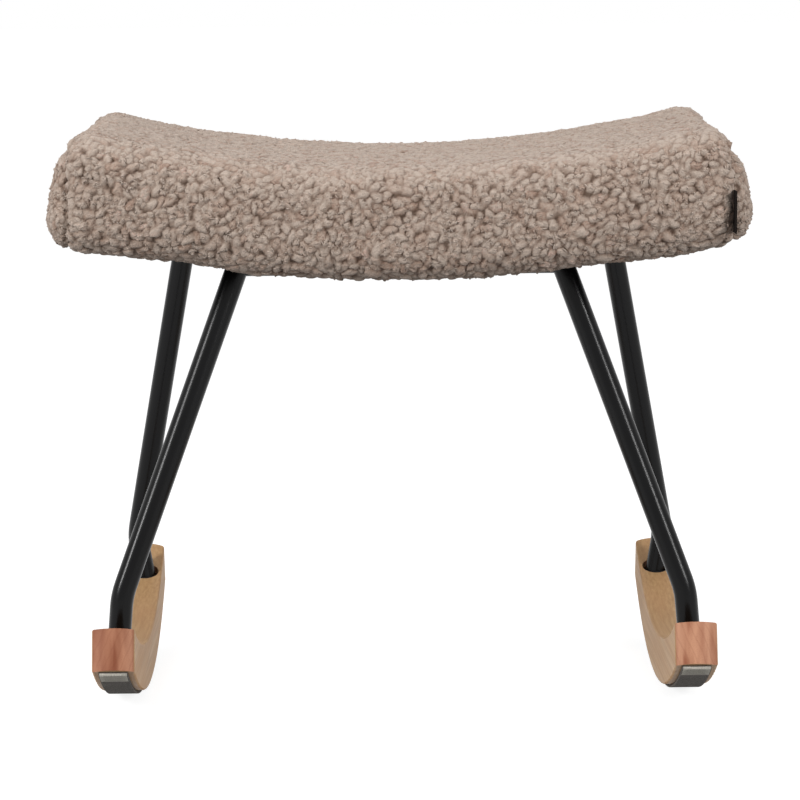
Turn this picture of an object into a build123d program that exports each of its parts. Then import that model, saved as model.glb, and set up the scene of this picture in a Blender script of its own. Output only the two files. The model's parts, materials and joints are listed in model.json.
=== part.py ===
from build123d import *
import os
from math import asin, cos, degrees, sin, sqrt

# Rocking footstool: a saddle-shaped padded seat on four bent steel legs and two beech rockers.
# X runs along the seat, Y from front (-) to back (+), Z up from the floor. Millimetres.

# Rocker runners
runner_spacing = 500.0  # between the runners' middle planes
runner_width = 36.5
runner_top_chord = 410.0
runner_top_rise = 45.0
runner_bottom_chord = 430.0
runner_bottom_rise = 52.0
runner_mid_height = 42.0
runner_end_bow = 5.5
runner_corner_radius = 5.0  # upright corners of each end
runner_corner_start = 0.3  # outside the runner's side, where the round of a corner starts
runner_edge_radius = 1.5
runner_trim = 10.0  # blank left beyond each end before it is cut to shape
felt_thickness = 3.0
felt_width = 25.0
felt_chord = 432.0

# Legs and the tubes that join them
tube_diameter = 20.0
tube_wall = 1.5
leg_foot_inset = 1.5  # from the runner's middle plane towards the middle of the stool
leg_bend_radius = 60.0
front_foot_y = 160.0
front_bend_height = 39.0
front_bend_shift = -3.2  # towards the middle of the stool
rear_foot_y = 163.0
rear_bend_height = 34.5
rear_bend_shift = 6.0  # away from the middle
front_top_x = 138.0
front_top_y = 98.0
rear_top_x = 197.0
rear_top_y = 92.0
cross_tube_diameter = 14.0
cross_tube_wall = 1.2
cross_tube_rise = 2.5  # of their centre lines above the lowest point of the seat

# Foot of each leg
socket_depth = 20.0
socket_clearance = 0.2
collar_diameter = 25.0
collar_thickness = 1.5
spot_face_clearance = 0.3
spot_face_depth = 0.5  # at the lower side of the runner's slope
insert_length = 16.0
insert_clearance = 0.05
foot_bolt_diameter = 8.0
foot_bolt_head_diameter = 13.0
foot_bolt_head_height = 8.0
foot_bolt_key = 6.0
foot_washer_diameter = 17.0
foot_washer_thickness = 1.6
foot_web = 7.0  # wood between the socket and the counterbore

# Seat pad: the lower half of its section across the depth is swung about an axis high above the
# stool, and the upper half about a nearer one, so the pad is thicker at its ends
saddle_radius = 1650.0  # from the axis to the underside of the cover
top_saddle_radius = 1150.0  # from the nearer axis to the crown of the top
pad_bottom_height = 388.0
pad_width = 596.0
pad_depth = 407.0
pad_edge_height = 93.5
pad_crown = 9.0
pad_top_radius = 34.0
pad_bottom_radius = 30.0
pad_end_radius = 32.0
cover_thickness = 12.0
cover_turn_under = 46.0
opening_corner_radius = 30.0
seam_inset = 15.0  # from the end of the pad to the seam of its end panel
seam_groove_width = 4.0
seam_groove_depth = 3.0
tab_height = 36.0
tab_reach = 12.0
tab_thickness = 1.0
tab_rise = 55.0  # of its middle above the lowest point of the seat

# Seat board and lining
board_thickness = 12.0
board_inset = 18.0  # from the foam's side
board_corner_radius = 25.0
lining_thickness = 1.0
lining_clearance = 0.5
lining_drop = 0.05  # the lining clears the hollow face of the board

# Mounting plates and what holds them
plate_length = 70.0
plate_width = 36.0
plate_thickness = 4.0
plate_corner_radius = 6.0
seat_bolt_spacing = 48.0
seat_bolt_diameter = 6.0
seat_bolt_hole = 6.6
seat_bolt_head_diameter = 10.5
seat_bolt_head_height = 3.3
seat_bolt_key = 4.0
seat_washer_diameter = 12.0
seat_washer_thickness = 1.2
tee_nut_flange_diameter = 17.0
tee_nut_flange_thickness = 1.2
tee_nut_barrel_diameter = 8.0
tee_nut_barrel_length = 9.0
tee_nut_lift = 0.05  # the flat flange clears the hollow face of the board
thread_clearance = 0.1
foam_pocket_clearance = 0.5

# Staples round the lining
staple_crown = 10.0
staple_wire = 1.0
staple_leg = 7.0
staple_edge_distance = 9.0
staples_along_side = 11
staples_along_end = 6

SIDES = (("left", -1), ("right", 1))
ENDS = (("front", -1), ("rear", 1))


def arc_radius(chord, rise):
    """Radius of the arc that spans a chord with the given rise."""
    return (chord * chord / 4 + rise * rise) / (2 * rise)


def arc_height(y, radius, lowest):
    """Height at y of an upward-opening arc about the Y = 0 line."""
    return lowest + radius - sqrt(radius * radius - y * y)


# Runner arcs
top_radius = arc_radius(runner_top_chord, runner_top_rise)
bottom_radius = arc_radius(runner_bottom_chord, runner_bottom_rise)
top_lowest = felt_thickness + runner_mid_height
end_top_height = top_lowest + runner_top_rise
end_bottom_height = felt_thickness + runner_bottom_rise
runner_overrun = runner_end_bow + runner_edge_radius + runner_trim
tube_radius = tube_diameter / 2

# Saddle: axis and the radii of its layers
saddle_height = pad_bottom_height + saddle_radius
saddle_axis = Axis((0, 0, saddle_height), (0, 1, 0))
top_axis_height = pad_bottom_height + pad_edge_height + pad_crown + top_saddle_radius
top_axis = Axis((0, 0, top_axis_height), (0, 1, 0))
middle_radius = saddle_radius - pad_edge_height / 2
pad_half_angle = asin(pad_width / 2 / middle_radius)
board_bottom_radius = saddle_radius - cover_thickness
lining_bottom_radius = board_bottom_radius + lining_drop + lining_thickness
board_depth = pad_depth - 2 * (cover_thickness + board_inset)
board_half_angle = asin((pad_width / 2 - cover_thickness - board_inset) / board_bottom_radius)
opening_length = pad_width - 2 * cover_turn_under
opening_depth = pad_depth - 2 * cover_turn_under
inside_height = pad_bottom_height + pad_edge_height / 2
seam_x = pad_width / 2 - seam_inset
tab_centre_height = pad_bottom_height + tab_rise
cross_tube_height = pad_bottom_height + cross_tube_rise


def saddle_plane(x, y, radius):
    """Plane that touches a saddle layer at x and y, with its normal towards the axis."""
    angle = asin(x / radius)
    origin = (x, y, saddle_height - radius * cos(angle))
    return Plane(origin, x_dir=(cos(angle), 0, sin(angle)), z_dir=(-sin(angle), 0, cos(angle)))


def foot_rise(side, end):
    """Vector from the point where a leg meets the runner's top up to its bend."""
    height = front_bend_height if end < 0 else rear_bend_height
    shift = front_bend_shift if end < 0 else rear_bend_shift
    return Vector(side * shift, 0, height)


def foot_plane(side, end):
    """Plane at the point where a leg meets the runner's top, square to the leg's foot."""
    foot_x = side * (runner_spacing / 2 - leg_foot_inset)
    foot_y = front_foot_y if end < 0 else rear_foot_y
    foot_height = arc_height(foot_y, top_radius, top_lowest)
    return Plane((foot_x, end * foot_y, foot_height), x_dir=(0, 1, 0), z_dir=foot_rise(side, end))


def spot_face_plane(side, end):
    """Level plane cut into the runner's sloping top, where a leg's collar seats."""
    foot = foot_plane(side, end).origin
    rise = foot_rise(side, end)
    low_side = abs(foot.Y) - collar_diameter / 2 - spot_face_clearance
    drop = foot.Z - arc_height(low_side, top_radius, top_lowest) + spot_face_depth
    return Plane(foot - rise * (drop / rise.Z))


def plate_plane(side, end):
    """Plane of a mounting plate's top face, against the lining."""
    x = front_top_x if end < 0 else rear_top_x
    y = front_top_y if end < 0 else rear_top_y
    return saddle_plane(side * x, end * y, lining_bottom_radius)


def leg_points(side, end):
    """Foot, bend and top of a leg's centre line."""
    foot = foot_plane(side, end)
    bend = foot.origin + foot_rise(side, end)
    return foot.offset(-socket_depth).origin, bend, plate_plane(side, end).origin


def cross_tube_end(side, end):
    """Point of a leg's centre line at the height of the cross tubes."""
    _, bend, top = leg_points(side, end)
    share = (cross_tube_height - bend.Z) / (top.Z - bend.Z)
    return bend + (top - bend) * share


def arc_band(chord, radius, lowest, thickness):
    """Sketch of the band between an arc and a second one below it, across Y and Z."""
    top_end = arc_height(chord / 2, radius, lowest)
    low_end = arc_height(chord / 2, radius + thickness, lowest - thickness)
    with BuildSketch() as band:
        with BuildLine():
            upper = ThreePointArc((-chord / 2, top_end), (0, lowest), (chord / 2, top_end))
            lower = ThreePointArc((-chord / 2, low_end), (0, lowest - thickness), (chord / 2, low_end))
            Line(upper @ 0, lower @ 0)
            Line(upper @ 1, lower @ 1)
        make_face()
    return band.sketch


def lower_section(inset):
    """Sketch of the pad's section across its depth, set in by inset, with its lower edges rounded."""
    half = pad_depth / 2 - inset
    with BuildSketch() as section:
        with Locations((0, pad_bottom_height + inset)):
            Rectangle(2 * half, 2 * pad_edge_height, align=(Align.CENTER, Align.MIN))
        fillet(section.vertices().group_by(Axis.Y)[0], pad_bottom_radius - inset)
    return section.sketch


def upper_section(inset):
    """Sketch of the pad's section across its depth, set in by inset, with its crown and upper edges."""
    half = pad_depth / 2 - inset
    bottom = pad_bottom_height - pad_edge_height
    edge = pad_bottom_height + pad_edge_height - inset
    with BuildSketch() as section:
        with BuildLine():
            Polyline((half, edge), (half, bottom), (-half, bottom), (-half, edge))
            ThreePointArc((-half, edge), (0, edge + pad_crown), (half, edge))
        make_face()
        fillet(section.vertices().group_by(Axis.Y)[-1], pad_top_radius - inset)
    return section.sketch


def saddle_solid(section, axis, half_angle):
    """Solid that a section across Y and Z sweeps about an axis above it, both ways."""
    with BuildPart() as swept:
        with BuildSketch(Plane.YZ):
            add(section)
        revolve(axis=axis, revolution_arc=degrees(half_angle))
        mirror(about=Plane.YZ)
    return swept.part


def layer_section(depth, thickness, radius):
    """Sketch of a flat layer whose underside lies at a radius of the saddle."""
    with BuildSketch() as layer:
        with Locations((0, saddle_height - radius + thickness / 2)):
            Rectangle(depth, thickness)
    return layer.sketch


def pad_solid(inset):
    """Pad with rounded ends, set in by inset."""
    lower = saddle_solid(lower_section(inset), saddle_axis, pad_half_angle - inset / middle_radius)
    upper = saddle_solid(upper_section(inset), top_axis, 2 * pad_half_angle)
    with BuildPart() as pad:
        add(lower)
        add(upper, mode=Mode.INTERSECT)
        end_faces = [pad.faces().sort_by(Axis.X)[0], pad.faces().sort_by(Axis.X)[-1]]
        fillet([edge for face in end_faces for edge in face.edges()], pad_end_radius - inset)
    return pad.part


def end_plan():
    """Sketch of a runner's end seen from above, bowed outwards and with rounded corners."""
    half = runner_width / 2 + runner_corner_start
    with BuildSketch() as plan:
        with BuildLine():
            bow = ThreePointArc((-half, 0), (0, runner_end_bow), (half, 0))
            Polyline(bow @ 0, (-half, -runner_width), (half, -runner_width), bow @ 1)
        make_face()
        fillet(plan.vertices().group_by(Axis.Y)[-1], runner_corner_radius)
    return plan.sketch


# Runners, with a socket, a spot face and a counterbored hole for each leg
felt_section = arc_band(felt_chord, bottom_radius, felt_thickness, felt_thickness)
for side_name, side in SIDES:
    runner_plane = Plane.YZ.offset(side * runner_spacing / 2)
    top_reach = runner_top_chord / 2 + runner_overrun
    bottom_reach = runner_bottom_chord / 2 + runner_overrun
    with BuildPart() as runner:
        with BuildSketch(runner_plane):
            with BuildLine():
                upper_end = arc_height(top_reach, top_radius, top_lowest)
                lower_end = arc_height(bottom_reach, bottom_radius, felt_thickness)
                upper = ThreePointArc((-top_reach, upper_end), (0, top_lowest), (top_reach, upper_end))
                lower = ThreePointArc(
                    (-bottom_reach, lower_end), (0, felt_thickness), (bottom_reach, lower_end)
                )
                Line(upper @ 0, lower @ 0)
                Line(upper @ 1, lower @ 1)
            make_face()
        extrude(amount=runner_width / 2, both=True)
        long_edges = runner.edges().filter_by(lambda edge: edge.length > runner_top_chord / 2)
        fillet(long_edges, runner_edge_radius)
        for end_name, end in ENDS:
            end_lean = (runner_bottom_chord - runner_top_chord) / 2
            end_plane = Plane(
                (side * runner_spacing / 2, end * runner_top_chord / 2, end_top_height),
                x_dir=(end, 0, 0),
                z_dir=(0, -end * end_lean, end_top_height - end_bottom_height),
            )
            with BuildSketch(end_plane):
                Rectangle(2 * runner_width, 2 * runner_width)
                add(end_plan(), mode=Mode.SUBTRACT)
            extrude(amount=2 * runner_width, both=True, mode=Mode.SUBTRACT)
            with BuildSketch(spot_face_plane(side, end)):
                Circle(collar_diameter / 2 + spot_face_clearance)
            extrude(amount=runner_mid_height, mode=Mode.SUBTRACT)
            foot = foot_plane(side, end)
            with BuildSketch(foot.offset(-socket_depth)):
                Circle(tube_radius + socket_clearance)
            extrude(amount=2 * socket_depth, mode=Mode.SUBTRACT)
            with BuildSketch(foot.offset(-socket_depth)):
                Circle(foot_bolt_diameter / 2 + socket_clearance)
            extrude(amount=-runner_mid_height, mode=Mode.SUBTRACT)
            with BuildSketch(foot.offset(-socket_depth - foot_web)):
                Circle(foot_washer_diameter / 2 + socket_clearance)
            extrude(amount=-runner_mid_height, mode=Mode.SUBTRACT)
    runner.part.label = f"{side_name}_runner"
    export_step(runner.part, f"parts/{side_name}_runner.step")

    with BuildPart() as felt_strip:
        with BuildSketch(runner_plane):
            add(felt_section)
        extrude(amount=felt_width / 2, both=True)
    felt_strip.part.label = f"{side_name}_felt_strip"
    export_step(felt_strip.part, f"parts/{side_name}_felt_strip.step")

# Legs, each with its collar and mounting plate
for side_name, side in SIDES:
    for end_name, end in ENDS:
        foot_point, bend_point, top_point = leg_points(side, end)
        beyond = top_point + (top_point - bend_point).normalized() * tube_diameter
        plate = plate_plane(side, end)
        with BuildPart() as leg:
            with BuildLine():
                FilletPolyline(foot_point, bend_point, beyond, radius=leg_bend_radius)
            with BuildSketch(Plane(foot_point, z_dir=bend_point - foot_point)):
                Circle(tube_radius)
                Circle(tube_radius - tube_wall, mode=Mode.SUBTRACT)
            sweep()
            split(bisect_by=plate.offset(-plate_thickness), keep=Keep.BOTTOM)
        leg.part.label = f"{end_name}_{side_name}_leg"
        export_step(leg.part, f"parts/{end_name}_{side_name}_leg.step")

        with BuildPart() as collar:
            with BuildSketch(spot_face_plane(side, end)):
                Circle(collar_diameter / 2)
            extrude(amount=collar_thickness)
            with BuildSketch(foot_plane(side, end).offset(-socket_depth)):
                Circle(tube_radius + socket_clearance)
            extrude(amount=2 * socket_depth, mode=Mode.SUBTRACT)
        collar.part.label = f"{end_name}_{side_name}_collar"
        export_step(collar.part, f"parts/{end_name}_{side_name}_collar.step")

        with BuildPart() as mounting_plate:
            with BuildSketch(plate):
                RectangleRounded(plate_width, plate_length, plate_corner_radius)
                with GridLocations(0, seat_bolt_spacing, 1, 2):
                    Circle(seat_bolt_hole / 2, mode=Mode.SUBTRACT)
            extrude(amount=-plate_thickness)
        mounting_plate.part.label = f"{end_name}_{side_name}_mounting_plate"
        export_step(mounting_plate.part, f"parts/{end_name}_{side_name}_mounting_plate.step")

# Cross tubes, coped to the legs that they join
for end_name, end in ENDS:
    left_end = cross_tube_end(-1, end)
    right_end = cross_tube_end(1, end)
    with BuildPart() as cross_tube:
        with BuildSketch(Plane(left_end, z_dir=right_end - left_end)):
            Circle(cross_tube_diameter / 2)
            Circle(cross_tube_diameter / 2 - cross_tube_wall, mode=Mode.SUBTRACT)
        extrude(amount=(right_end - left_end).length)
        for side_name, side in SIDES:
            _, bend_point, top_point = leg_points(side, end)
            with BuildSketch(Plane(bend_point, z_dir=top_point - bend_point)):
                Circle(tube_radius)
            extrude(amount=2 * (top_point - bend_point).length, mode=Mode.SUBTRACT)
    cross_tube.part.label = f"{end_name}_cross_tube"
    export_step(cross_tube.part, f"parts/{end_name}_cross_tube.step")

# Inserts in the legs' feet, and the bolts and washers that hold them from below
foot_planes = [foot_plane(side, end) for side_name, side in SIDES for end_name, end in ENDS]
with BuildPart() as leg_inserts:
    for foot in foot_planes:
        with BuildSketch(foot.offset(-socket_depth)):
            Circle(tube_radius - tube_wall - insert_clearance)
            Circle(foot_bolt_diameter / 2 + thread_clearance, mode=Mode.SUBTRACT)
        extrude(amount=insert_length)
leg_inserts.part.label = "leg_inserts"
export_step(leg_inserts.part, "parts/leg_inserts.step")

with BuildPart() as runner_bolts:
    for foot in foot_planes:
        seat = foot.offset(-socket_depth - foot_web - foot_washer_thickness)
        with BuildSketch(seat):
            Circle(foot_bolt_head_diameter / 2)
        extrude(amount=-foot_bolt_head_height)
        with BuildSketch(seat):
            Circle(foot_bolt_diameter / 2)
        extrude(amount=foot_washer_thickness + foot_web + insert_length)
        with BuildSketch(seat.offset(-foot_bolt_head_height)):
            RegularPolygon(foot_bolt_key / 2, 6, major_radius=False)
        extrude(amount=foot_bolt_head_height / 2, mode=Mode.SUBTRACT)
runner_bolts.part.label = "runner_bolts"
export_step(runner_bolts.part, "parts/runner_bolts.step")

with BuildPart() as runner_washers:
    for foot in foot_planes:
        with BuildSketch(foot.offset(-socket_depth - foot_web)):
            Circle(foot_washer_diameter / 2)
            Circle(foot_bolt_diameter / 2 + socket_clearance, mode=Mode.SUBTRACT)
        extrude(amount=-foot_washer_thickness)
runner_washers.part.label = "runner_washers"
export_step(runner_washers.part, "parts/runner_washers.step")

# Seat bolts, their washers and tee nuts, two through each mounting plate
plates = [plate_plane(side, end) for side_name, side in SIDES for end_name, end in ENDS]
tee_nut_seat = lining_thickness + lining_drop + board_thickness + tee_nut_lift
with BuildPart() as seat_bolts:
    for plate in plates:
        under_head = plate.offset(-plate_thickness - seat_washer_thickness)
        with BuildSketch(under_head):
            with GridLocations(0, seat_bolt_spacing, 1, 2):
                Circle(seat_bolt_head_diameter / 2)
        extrude(amount=-seat_bolt_head_height)
        with BuildSketch(under_head):
            with GridLocations(0, seat_bolt_spacing, 1, 2):
                Circle(seat_bolt_diameter / 2)
        extrude(amount=seat_washer_thickness + plate_thickness + tee_nut_seat)
        with BuildSketch(under_head.offset(-seat_bolt_head_height)):
            with GridLocations(0, seat_bolt_spacing, 1, 2):
                RegularPolygon(seat_bolt_key / 2, 6, major_radius=False)
        extrude(amount=seat_bolt_head_height / 2, mode=Mode.SUBTRACT)
seat_bolts.part.label = "seat_bolts"
export_step(seat_bolts.part, "parts/seat_bolts.step")

with BuildPart() as seat_washers:
    for plate in plates:
        with BuildSketch(plate.offset(-plate_thickness)):
            with GridLocations(0, seat_bolt_spacing, 1, 2):
                Circle(seat_washer_diameter / 2)
                Circle(seat_bolt_hole / 2, mode=Mode.SUBTRACT)
        extrude(amount=-seat_washer_thickness)
seat_washers.part.label = "seat_washers"
export_step(seat_washers.part, "parts/seat_washers.step")

with BuildPart() as tee_nuts:
    for plate in plates:
        flange = plate.offset(tee_nut_seat)
        with BuildSketch(flange):
            with GridLocations(0, seat_bolt_spacing, 1, 2):
                Circle(tee_nut_flange_diameter / 2)
        extrude(amount=tee_nut_flange_thickness)
        with BuildSketch(flange):
            with GridLocations(0, seat_bolt_spacing, 1, 2):
                Circle(tee_nut_barrel_diameter / 2)
        extrude(amount=-tee_nut_barrel_length)
        with BuildSketch(flange.offset(tee_nut_flange_thickness)):
            with GridLocations(0, seat_bolt_spacing, 1, 2):
                Circle(seat_bolt_diameter / 2 + thread_clearance)
        extrude(amount=-tee_nut_flange_thickness - tee_nut_barrel_length, mode=Mode.SUBTRACT)
tee_nuts.part.label = "tee_nuts"
export_step(tee_nuts.part, "parts/tee_nuts.step")

# Staples round the edge of the lining: two legs up into the board, joined by a crown below
side_pitch = (opening_length - 2 * opening_corner_radius) / (staples_along_side - 1)
end_pitch = (opening_depth - 2 * opening_corner_radius) / (staples_along_end - 1)
staple_places = []
for end_name, end in ENDS:
    for index in range(staples_along_side):
        x = (index - (staples_along_side - 1) / 2) * side_pitch
        y = end * (opening_depth / 2 - staple_edge_distance)
        staple_places.append(saddle_plane(x, y, lining_bottom_radius).location)
for side_name, side in SIDES:
    for index in range(staples_along_end):
        x = side * (opening_length / 2 - staple_edge_distance)
        y = (index - (staples_along_end - 1) / 2) * end_pitch
        staple_places.append(saddle_plane(x, y, lining_bottom_radius).rotated((0, 0, 90)).location)
with BuildPart() as staple:
    with BuildSketch():
        with GridLocations(staple_crown - staple_wire, 0, 2, 1):
            Rectangle(staple_wire, staple_wire)
    extrude(amount=staple_leg)
    with BuildSketch():
        Rectangle(staple_crown, staple_wire)
    extrude(amount=-staple_wire)
with BuildPart() as lining_staples:
    with Locations(*staple_places):
        add(staple.part)
lining_staples.part.label = "lining_staples"
export_step(lining_staples.part, "parts/lining_staples.step")

# Seat board, bent to the saddle
board_section = layer_section(board_depth, board_thickness, board_bottom_radius)
board_sweep = saddle_solid(board_section, saddle_axis, board_half_angle)
with BuildPart() as board_blank:
    add(board_sweep)
    corners = board_blank.edges().filter_by(GeomType.LINE).filter_by(
        lambda edge: edge.length < 2 * board_thickness and abs(edge.center().X) > board_depth / 2
    )
    fillet(corners, board_corner_radius)
with BuildPart() as seat_board:
    add(board_blank.part)
    for plate in plates:
        with BuildSketch(plate):
            with GridLocations(0, seat_bolt_spacing, 1, 2):
                Circle(tee_nut_barrel_diameter / 2)
        extrude(amount=2 * board_thickness, mode=Mode.SUBTRACT)
    with Locations(*staple_places):
        add(staple.part, mode=Mode.SUBTRACT)
seat_board.part.label = "seat_board"
export_step(seat_board.part, "parts/seat_board.step")

# Lining cloth against the board, inside the turned-under edge of the cover
lining_section = layer_section(board_depth, lining_thickness, lining_bottom_radius)
lining_sweep = saddle_solid(lining_section, saddle_axis, board_half_angle)
with BuildPart() as underside_lining:
    add(lining_sweep)
    with BuildSketch(Plane.XY):
        RectangleRounded(
            opening_length - 2 * lining_clearance,
            opening_depth - 2 * lining_clearance,
            opening_corner_radius - lining_clearance,
        )
    extrude(amount=inside_height, mode=Mode.INTERSECT)
    for plate in plates:
        with BuildSketch(plate):
            with GridLocations(0, seat_bolt_spacing, 1, 2):
                Circle(seat_bolt_hole / 2)
        extrude(amount=2 * lining_thickness, both=True, mode=Mode.SUBTRACT)
    with Locations(*staple_places):
        add(staple.part, mode=Mode.SUBTRACT)
underside_lining.part.label = "underside_lining"
export_step(underside_lining.part, "parts/underside_lining.step")

# Foam, which wraps the board's edge
foam_envelope = pad_solid(cover_thickness)
with BuildPart() as seat_foam:
    add(foam_envelope)
    add(board_blank.part, mode=Mode.SUBTRACT)
    for plate in plates:
        with BuildSketch(plate.offset(tee_nut_seat - tee_nut_lift - foam_pocket_clearance)):
            with GridLocations(0, seat_bolt_spacing, 1, 2):
                Circle(tee_nut_flange_diameter / 2 + foam_pocket_clearance)
        extrude(amount=tee_nut_flange_thickness + 2 * foam_pocket_clearance, mode=Mode.SUBTRACT)
seat_foam.part.label = "seat_foam"
export_step(seat_foam.part, "parts/seat_foam.step")

# Tab caught in the front of the right end seam
tab_y = -pad_depth / 2 + pad_end_radius / 2 - tab_reach
with BuildPart() as side_tab:
    with BuildSketch(Plane.YZ.offset(seam_x)):
        with Locations((tab_y, tab_centre_height)):
            Rectangle(2 * tab_reach, tab_height)
    extrude(amount=tab_thickness / 2, both=True)
    add(foam_envelope, mode=Mode.SUBTRACT)
side_tab.part.label = "side_tab"
export_step(side_tab.part, "parts/side_tab.step")

# Cover: a shell round the foam, open underneath, sewn from a main panel and two end panels. Its
# pile is drawn in to a groove along each seam.
pad_envelope = pad_solid(0)
seam_core = pad_solid(seam_groove_depth)
seam_grooves = []
for side_name, side in SIDES:
    with BuildPart() as seam_groove:
        with Locations((side * seam_x, 0, inside_height)):
            Box(seam_groove_width, 2 * pad_depth, 4 * pad_edge_height)
        add(seam_core, mode=Mode.SUBTRACT)
    seam_grooves.append(seam_groove.part)
with BuildPart() as whole_cover:
    add(pad_envelope)
    add(foam_envelope, mode=Mode.SUBTRACT)
    for seam_groove in seam_grooves:
        add(seam_groove, mode=Mode.SUBTRACT)
    with BuildSketch(Plane.XY):
        RectangleRounded(opening_length, opening_depth, opening_corner_radius)
    extrude(amount=inside_height, mode=Mode.SUBTRACT)
    add(side_tab.part, mode=Mode.SUBTRACT)

with BuildPart() as main_panel:
    add(whole_cover.part)
    split(bisect_by=Plane.YZ.offset(seam_x), keep=Keep.BOTTOM)
    split(bisect_by=Plane.YZ.offset(-seam_x), keep=Keep.TOP)
main_panel.part.label = "cover_main_panel"
export_step(main_panel.part, "parts/cover_main_panel.step")

for side_name, side in SIDES:
    with BuildPart() as end_panel:
        add(whole_cover.part)
        split(bisect_by=Plane.YZ.offset(side * seam_x), keep=Keep.TOP if side > 0 else Keep.BOTTOM)
    end_panel.part.label = f"cover_{side_name}_end_panel"
    export_step(end_panel.part, f"parts/cover_{side_name}_end_panel.step")
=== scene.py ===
import json
from math import cos, pi, radians, sin
from types import SimpleNamespace

import bmesh
import bpy
import numpy as np
from mathutils import Matrix, Vector, kdtree, noise
from mathutils.bvhtree import BVHTree

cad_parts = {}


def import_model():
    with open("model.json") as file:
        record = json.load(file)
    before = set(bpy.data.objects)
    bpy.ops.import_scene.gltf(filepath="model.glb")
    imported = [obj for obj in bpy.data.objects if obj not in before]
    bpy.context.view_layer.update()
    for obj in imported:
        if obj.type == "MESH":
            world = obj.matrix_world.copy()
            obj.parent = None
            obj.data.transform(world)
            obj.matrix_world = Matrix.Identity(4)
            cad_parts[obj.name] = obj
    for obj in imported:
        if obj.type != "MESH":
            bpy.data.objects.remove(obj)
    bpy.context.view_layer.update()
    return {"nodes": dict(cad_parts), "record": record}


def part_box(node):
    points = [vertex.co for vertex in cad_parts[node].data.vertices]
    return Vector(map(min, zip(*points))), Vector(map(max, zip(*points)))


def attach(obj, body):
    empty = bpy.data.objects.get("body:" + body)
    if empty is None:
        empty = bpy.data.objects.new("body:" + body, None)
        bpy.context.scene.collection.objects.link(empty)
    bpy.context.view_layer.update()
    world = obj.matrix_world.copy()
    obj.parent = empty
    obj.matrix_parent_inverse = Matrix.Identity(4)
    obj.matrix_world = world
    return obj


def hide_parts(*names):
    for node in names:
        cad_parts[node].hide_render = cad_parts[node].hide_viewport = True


# Rocking footstool with a curly-pile seat. X runs along the seat, Y from front (-) to back (+), Z up. Metres.

# Camera, at the photograph's place
CAMERA_PLACE = (-0.0256, -2.946, 0.643)
CAMERA_PITCH = radians(7.42)  # downwards
CAMERA_YAW = radians(0.49)  # to the right
CAMERA_ROLL = radians(-0.56)
CAMERA_LENS, CAMERA_SENSOR = 146.3, 36.0  # millimetres
CAMERA_REACH = 200.0

# Light
WORLD_LIGHT = 0.45
FLOOR_REACH = 40.0
FLOOR_TONE = 0.28  # in the light that the floor throws on the object
FLOOR_SHOWN_TONE, FLOOR_GLOW = 0.38, 0.85  # to the camera: near white, with the object's shadow
SOFTBOXES = (  # name, place, target, size, watts
    ("overhead", (0.0, -0.3, 2.4), (0, 0, 0.4), (2.4, 1.8), 20.0),
    ("front_left", (-1.89, -1.30, 1.13), (-0.2, -0.1, 0.25), (0.30, 0.75), 33.0),
    ("front_right", (1.61, -1.67, 1.09), (0.2, -0.1, 0.25), (0.30, 0.75), 25.0),
)

# Shell of the cover
REMESH_VOXEL = 0.005
PILE_DEPTH = 0.0028  # from the cover's outside down to the foot of the pile
SHELL_NEAR, SHELL_FAR = 0.003, 0.009  # distances from the foam at the shell's inside and outside
PUFF_PRESSURE, PUFF_FRAMES = 4.0, 20
PUFF_CAP = 0.0025  # the most that the pressure moves a point
REFINE_CUTS = 3
RELAX_ROUNDS, RELAX_SHARE = 6, 0.6
HELD_BELOW, FINE_ABOVE = 0.9, 0.6  # outside shares where cloth is held and where faces are cut finer
NUBS_ABOVE, PILE_ABOVE = 0.85, 0.02  # outside shares where nubs take root and where the surface rises
SWELL_HEIGHT, SWELL_SIZE = 0.0009, 0.045  # of the broad unevenness
SEAM_GROOVE, GROOVE_WIDTH = 0.0045, 0.003
END_SWELL = 0.003  # how far the end panels bulge
RIM_DROP = 0.0045  # how far the lower rim hangs
RIM_DEPTHS = 0.148, 0.165  # from the middle, where the rim begins to hang and where it hangs in full
TUCK_X, TUCK_REACH = -0.20, 0.05  # where the lower rim is drawn up at the left
REAR_CORNER_RISE, RIGHT_CORNER_SAG = 0.0035, 0.008  # of the stuffing in the upper corners
CORNER_SPAN, CORNER_LEVELS = (0.235, 0.275), (0.46, 0.50)  # where the corners begin and are full, in X and Z
RIGHT_CORNER_SPAN = 0.262, 0.292

# Nubs of the pile
NUB_CANDIDATES = 110000
NUB_SPACING, NUB_HEIGHT = 0.0054, 0.0040
NUB_LEAN = 0.45  # sideways, as a share of a nub's height
NUB_STRETCH = 0.5  # how much farther a nub reaches along its length than across it
CLUMP_SIZE, CLUMP_SPREAD = 0.012, 0.28  # of the patches with finer and coarser nubs
WARP, WARP_SIZE = 0.0016, 0.0042  # that makes the nubs uneven
CREASE_WIDTH, CREASE_DEPTH = 0.22, 0.60  # where nubs meet, as shares of a nub's reach and height
PIT_LEVEL = 0.30  # of the ground between nubs, as a share of their height
TONE_SPREAD, RISE_SPREAD = 0.09, 0.03  # of the noise in the map that the pile's colours read
MAP_MARGIN = 0.02
PILE_SEED = 7  # of the random draws and of the noise vectors, which would else differ from run to run

# Strands of yarn round the nubs
STRAND_RINGS, STRAND_SIDES = 6, 4
YARN_RADII = 0.0005, 0.0008
STRANDS_PER_NUB = {
    "left_end_curls": 3,
    "right_end_curls": 3,
    "front_curls": 4,
    "top_left_curls": 2,
    "top_right_curls": 2,
    "back_curls": 2,
    "under_curls": 1,
}

# Labels under the front ends of the felt
LABEL_WIDTH, LABEL_LENGTH, LABEL_THICKNESS = 0.0235, 0.018, 0.0003
LABEL_TURN = 0.0024  # the part that lies up the felt's end
LABEL_SETBACK = 0.0004  # from the felt's end to the first point beneath it
RAY_ROOM = 0.01  # between a felt strip and the start of the rays that find its surface

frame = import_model()
nodes = frame["nodes"]


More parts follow.
